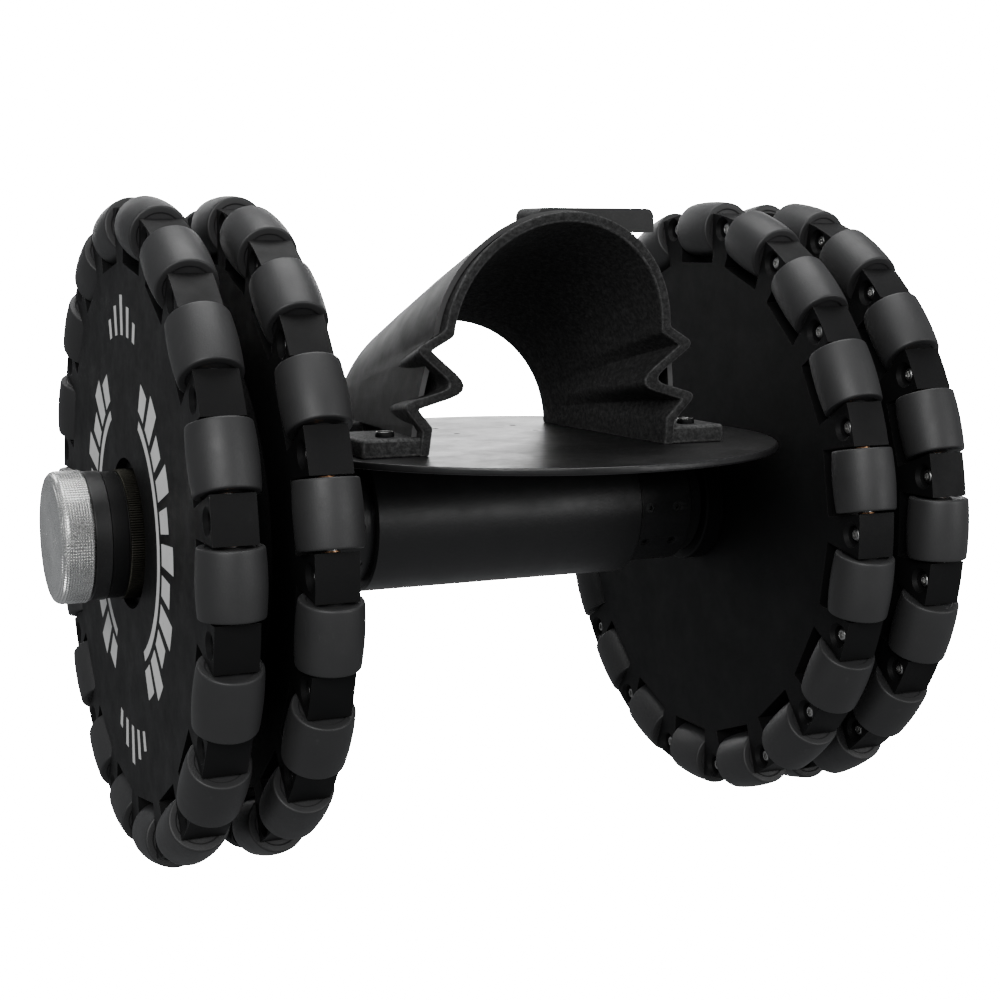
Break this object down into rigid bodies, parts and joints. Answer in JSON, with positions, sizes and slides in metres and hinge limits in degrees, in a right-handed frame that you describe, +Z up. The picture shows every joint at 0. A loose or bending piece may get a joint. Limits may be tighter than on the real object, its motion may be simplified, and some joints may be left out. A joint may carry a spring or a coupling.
{
  "type": "omni-wheel roller carriage",
  "caption": "Two-wheel carriage with double-row omni wheels on a fat axle tube, a round deck and an arched saddle with pleated sides, clamped by knurled end knobs.",
  "frame": {"origin": "on the floor midway between the two wheels, at the middle of the overall width and depth", "axes": "+Z up, X along the axle, front of the saddle and deck towards -Y"},
  "size_m": [0.284, 0.2107, 0.203],
  "materials": {
    "roller_rubber": "satin, moulded",
    "wheel_black": "matte",
    "axle_black": "satin anodised black",
    "deck_black": "fine-grained satin black",
    "saddle_black": "coarse grain, matte black",
    "shell_black": "smooth satin black",
    "bright_steel": "machined",
    "black_screw": "black oxide",
    "brass": "plain",
    "bronze_dark": "dark bronze-grey anodised",
    "knob_silver": "bright knurled"
  },
  "bodies": {
    "axle_frame": {"axle_shaft": "bright_steel", "axle_tube": "axle_black", "end_collars": "axle_black", "set_screws": "black_screw", "hub_spacers": "axle_black", "deck_mount": "axle_black", "deck_plate": "deck_black", "deck_screws": "black_screw", "saddle_liner": "saddle_black", "saddle_shell": "shell_black", "saddle_pad": "shell_black", "saddle_screws": "bright_steel", "thrust_collar_left": "axle_black", "thrust_collar_right": "axle_black"},
    "wheel_left": {"inner_disc_left": "wheel_black", "outer_disc_left": "wheel_black", "drum_left": "wheel_black", "hub_bearings_left": "bright_steel", "roller_pins_left": "bright_steel", "roller_washers_left": "brass", "lug_screws_left": "bright_steel", "hub_nut_left": "bronze_dark", "still_rollers_left": "roller_rubber"},
    "roller_left_inner_1": {"roller_left_inner_1": "roller_rubber"},
    "roller_left_inner_2": {"roller_left_inner_2": "roller_rubber"},
    "roller_left_inner_3": {"roller_left_inner_3": "roller_rubber"},
    "roller_left_inner_4": {"roller_left_inner_4": "roller_rubber"},
    "roller_left_inner_5": {"roller_left_inner_5": "roller_rubber"},
    "roller_left_inner_6": {"roller_left_inner_6": "roller_rubber"},
    "roller_left_inner_7": {"roller_left_inner_7": "roller_rubber"},
    "roller_left_outer_1": {"roller_left_outer_1": "roller_rubber"},
    "roller_left_outer_2": {"roller_left_outer_2": "roller_rubber"},
    "roller_left_outer_3": {"roller_left_outer_3": "roller_rubber"},
    "roller_left_outer_4": {"roller_left_outer_4": "roller_rubber"},
    "roller_left_outer_5": {"roller_left_outer_5": "roller_rubber"},
    "roller_left_outer_6": {"roller_left_outer_6": "roller_rubber"},
    "knob_left": {"knob_left": "knob_silver"},
    "wheel_right": {"inner_disc_right": "wheel_black", "outer_disc_right": "wheel_black", "drum_right": "wheel_black", "hub_bearings_right": "bright_steel", "roller_pins_right": "bright_steel", "roller_washers_right": "brass", "lug_screws_right": "bright_steel", "hub_nut_right": "bronze_dark", "still_rollers_right": "roller_rubber"},
    "roller_right_inner_1": {"roller_right_inner_1": "roller_rubber"},
    "roller_right_inner_2": {"roller_right_inner_2": "roller_rubber"},
    "roller_right_inner_3": {"roller_right_inner_3": "roller_rubber"},
    "roller_right_inner_4": {"roller_right_inner_4": "roller_rubber"},
    "roller_right_inner_5": {"roller_right_inner_5": "roller_rubber"},
    "roller_right_inner_6": {"roller_right_inner_6": "roller_rubber"},
    "roller_right_inner_7": {"roller_right_inner_7": "roller_rubber"},
    "roller_right_outer_1": {"roller_right_outer_1": "roller_rubber"},
    "roller_right_outer_2": {"roller_right_outer_2": "roller_rubber"},
    "roller_right_outer_3": {"roller_right_outer_3": "roller_rubber"},
    "roller_right_outer_4": {"roller_right_outer_4": "roller_rubber"},
    "roller_right_outer_5": {"roller_right_outer_5": "roller_rubber"},
    "roller_right_outer_6": {"roller_right_outer_6": "roller_rubber"},
    "knob_right": {"knob_right": "knob_silver"}
  },
  "joints": [
    {"name": "wheel_left_spin", "type": "hinge", "parent": "axle_frame", "child": "wheel_left", "pos_m": [-0.099, 0.00385, 0.1015], "axis": [1, 0, 0], "continuous": true},
    {"name": "roller_left_inner_1_spin", "type": "hinge", "parent": "wheel_left", "child": "roller_left_inner_1", "pos_m": [-0.0855, 0.00385, 0.0095], "axis": [0, -1, 0], "continuous": true},
    {"name": "roller_left_inner_2_spin", "type": "hinge", "parent": "wheel_left", "child": "roller_left_inner_2", "pos_m": [-0.0855, -0.02762, 0.01505], "axis": [0, -0.9397, 0.342], "continuous": true},
    {"name": "roller_left_inner_3_spin", "type": "hinge", "parent": "wheel_left", "child": "roller_left_inner_3", "pos_m": [-0.0855, -0.05529, 0.03102], "axis": [0, -0.766, 0.6428], "continuous": true},
    {"name": "roller_left_inner_4_spin", "type": "hinge", "parent": "wheel_left", "child": "roller_left_inner_4", "pos_m": [-0.0855, -0.07582, 0.0555], "axis": [0, -0.5, 0.866], "continuous": true},
    {"name": "roller_left_inner_5_spin", "type": "hinge", "parent": "wheel_left", "child": "roller_left_inner_5", "pos_m": [-0.0855, 0.08352, 0.0555], "axis": [0, -0.5, -0.866], "continuous": true},
    {"name": "roller_left_inner_6_spin", "type": "hinge", "parent": "wheel_left", "child": "roller_left_inner_6", "pos_m": [-0.0855, 0.06299, 0.03102], "axis": [0, -0.766, -0.6428], "continuous": true},
    {"name": "roller_left_inner_7_spin", "type": "hinge", "parent": "wheel_left", "child": "roller_left_inner_7", "pos_m": [-0.0855, 0.03532, 0.01505], "axis": [0, -0.9397, -0.342], "continuous": true},
    {"name": "roller_left_outer_1_spin", "type": "hinge", "parent": "wheel_left", "child": "roller_left_outer_1", "pos_m": [-0.1126, -0.01213, 0.0109], "axis": [0, -0.9848, 0.1736], "continuous": true},
    {"name": "roller_left_outer_2_spin", "type": "hinge", "parent": "wheel_left", "child": "roller_left_outer_2", "pos_m": [-0.1126, -0.04215, 0.02183], "axis": [0, -0.866, 0.5], "continuous": true},
    {"name": "roller_left_outer_3_spin", "type": "hinge", "parent": "wheel_left", "child": "roller_left_outer_3", "pos_m": [-0.1126, -0.06663, 0.04236], "axis": [0, -0.6428, 0.766], "continuous": true},
    {"name": "roller_left_outer_4_spin", "type": "hinge", "parent": "wheel_left", "child": "roller_left_outer_4", "pos_m": [-0.1126, 0.07433, 0.04236], "axis": [0, -0.6428, -0.766], "continuous": true},
    {"name": "roller_left_outer_5_spin", "type": "hinge", "parent": "wheel_left", "child": "roller_left_outer_5", "pos_m": [-0.1126, 0.04985, 0.02183], "axis": [0, -0.866, -0.5], "continuous": true},
    {"name": "roller_left_outer_6_spin", "type": "hinge", "parent": "wheel_left", "child": "roller_left_outer_6", "pos_m": [-0.1126, 0.01983, 0.0109], "axis": [0, -0.9848, -0.1736], "continuous": true},
    {"name": "knob_left_turn", "type": "hinge", "parent": "axle_frame", "child": "knob_left", "pos_m": [-0.1371, 0.00385, 0.1015], "axis": [-1, 0, 0], "range_deg": [0, 360]},
    {"name": "wheel_right_spin", "type": "hinge", "parent": "axle_frame", "child": "wheel_right", "pos_m": [0.099, 0.00385, 0.1015], "axis": [1, 0, 0], "continuous": true},
    {"name": "roller_right_inner_1_spin", "type": "hinge", "parent": "wheel_right", "child": "roller_right_inner_1", "pos_m": [0.0855, 0.00385, 0.0095], "axis": [0, -1, 0], "continuous": true},
    {"name": "roller_right_inner_2_spin", "type": "hinge", "parent": "wheel_right", "child": "roller_right_inner_2", "pos_m": [0.0855, -0.02762, 0.01505], "axis": [0, -0.9397, 0.342], "continuous": true},
    {"name": "roller_right_inner_3_spin", "type": "hinge", "parent": "wheel_right", "child": "roller_right_inner_3", "pos_m": [0.0855, -0.05529, 0.03102], "axis": [0, -0.766, 0.6428], "continuous": true},
    {"name": "roller_right_inner_4_spin", "type": "hinge", "parent": "wheel_right", "child": "roller_right_inner_4", "pos_m": [0.0855, -0.07582, 0.0555], "axis": [0, -0.5, 0.866], "continuous": true},
    {"name": "roller_right_inner_5_spin", "type": "hinge", "parent": "wheel_right", "child": "roller_right_inner_5", "pos_m": [0.0855, 0.08352, 0.0555], "axis": [0, -0.5, -0.866], "continuous": true},
    {"name": "roller_right_inner_6_spin", "type": "hinge", "parent": "wheel_right", "child": "roller_right_inner_6", "pos_m": [0.0855, 0.06299, 0.03102], "axis": [0, -0.766, -0.6428], "continuous": true},
    {"name": "roller_right_inner_7_spin", "type": "hinge", "parent": "wheel_right", "child": "roller_right_inner_7", "pos_m": [0.0855, 0.03532, 0.01505], "axis": [0, -0.9397, -0.342], "continuous": true},
    {"name": "roller_right_outer_1_spin", "type": "hinge", "parent": "wheel_right", "child": "roller_right_outer_1", "pos_m": [0.1126, -0.01213, 0.0109], "axis": [0, -0.9848, 0.1736], "continuous": true},
    {"name": "roller_right_outer_2_spin", "type": "hinge", "parent": "wheel_right", "child": "roller_right_outer_2", "pos_m": [0.1126, -0.04215, 0.02183], "axis": [0, -0.866, 0.5], "continuous": true},
    {"name": "roller_right_outer_3_spin", "type": "hinge", "parent": "wheel_right", "child": "roller_right_outer_3", "pos_m": [0.1126, -0.06663, 0.04236], "axis": [0, -0.6428, 0.766], "continuous": true},
    {"name": "roller_right_outer_4_spin", "type": "hinge", "parent": "wheel_right", "child": "roller_right_outer_4", "pos_m": [0.1126, 0.07433, 0.04236], "axis": [0, -0.6428, -0.766], "continuous": true},
    {"name": "roller_right_outer_5_spin", "type": "hinge", "parent": "wheel_right", "child": "roller_right_outer_5", "pos_m": [0.1126, 0.04985, 0.02183], "axis": [0, -0.866, -0.5], "continuous": true},
    {"name": "roller_right_outer_6_spin", "type": "hinge", "parent": "wheel_right", "child": "roller_right_outer_6", "pos_m": [0.1126, 0.01983, 0.0109], "axis": [0, -0.9848, -0.1736], "continuous": true},
    {"name": "knob_right_turn", "type": "hinge", "parent": "axle_frame", "child": "knob_right", "pos_m": [0.1371, 0.00385, 0.1015], "axis": [1, 0, 0], "range_deg": [0, 360]}
  ]
}
